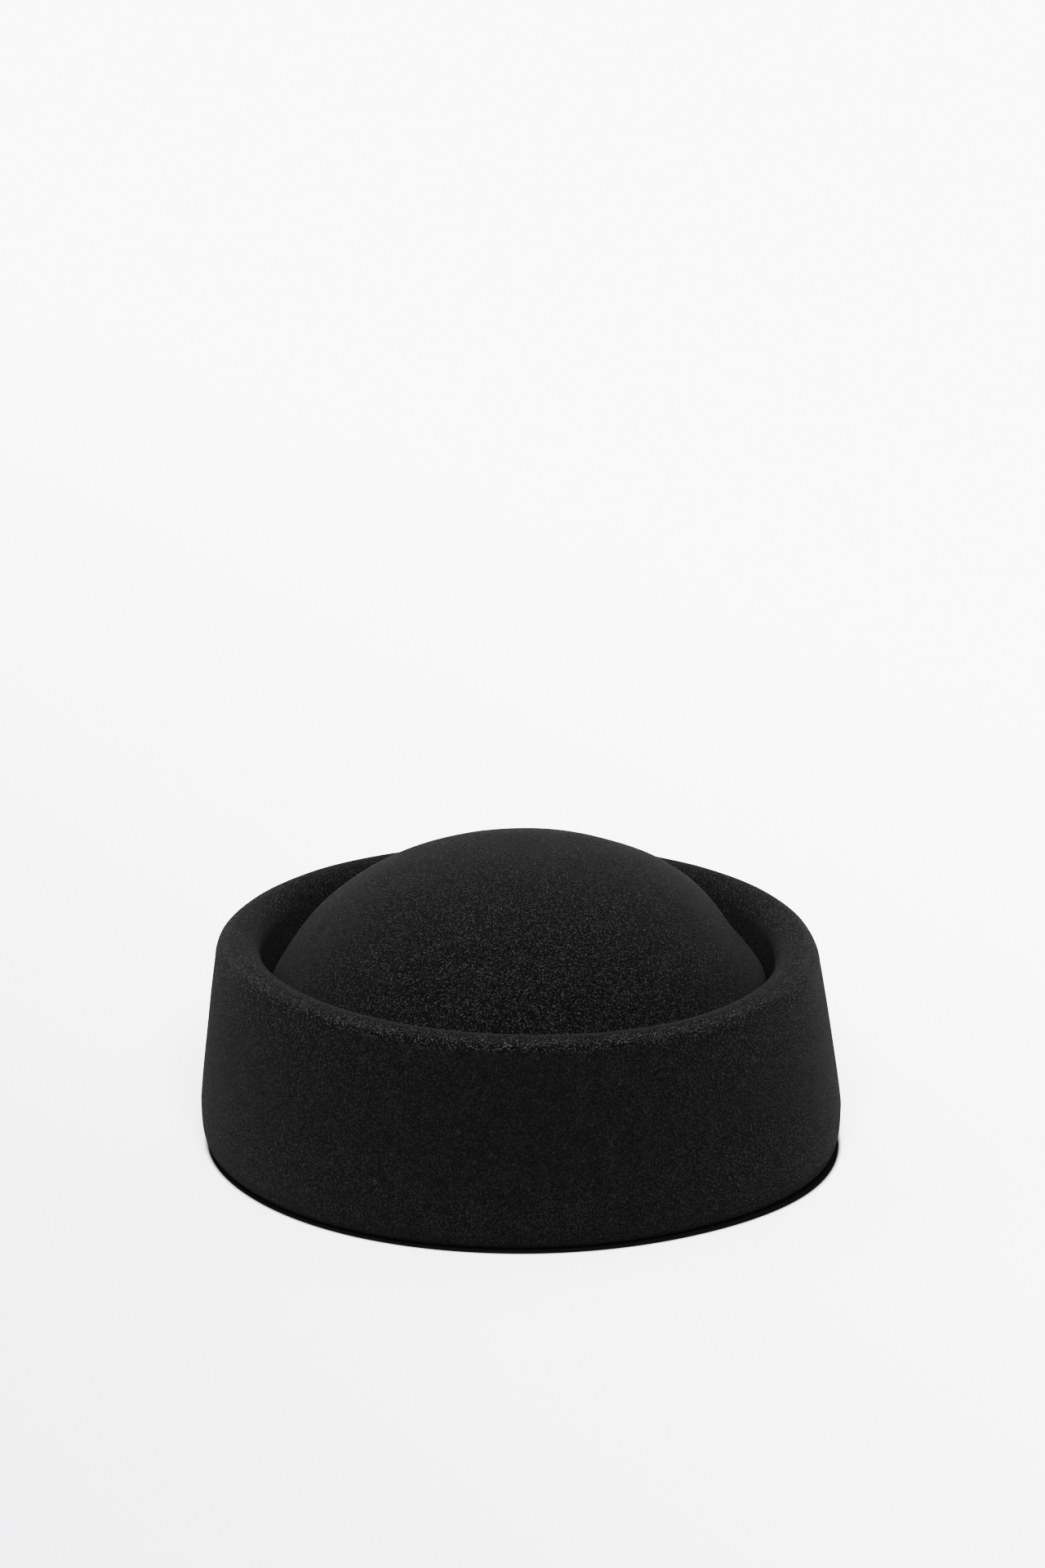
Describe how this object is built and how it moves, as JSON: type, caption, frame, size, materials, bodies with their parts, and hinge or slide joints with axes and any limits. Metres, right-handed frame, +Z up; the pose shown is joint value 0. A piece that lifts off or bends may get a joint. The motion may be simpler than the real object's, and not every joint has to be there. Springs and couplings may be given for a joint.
{
  "type": "wool felt pillbox skullcap",
  "caption": "Brimless oval felt cap: a low domed crown set in a groove inside a raised wall with a soft rolled rim, open below for the head.",
  "frame": {"origin": "on the surface that the hat stands on, under the middle of its outline", "axes": "+Z up through the dome, +Y along the head's length towards the back, +X across the head"},
  "size_m": [0.184, 0.2072, 0.086],
  "materials": {
    "black_wool_felt": "dense matt black wool felt with a short raised nap"
  },
  "bodies": {
    "root": {"felt_body": "black_wool_felt"}
  },
  "joints": []
}
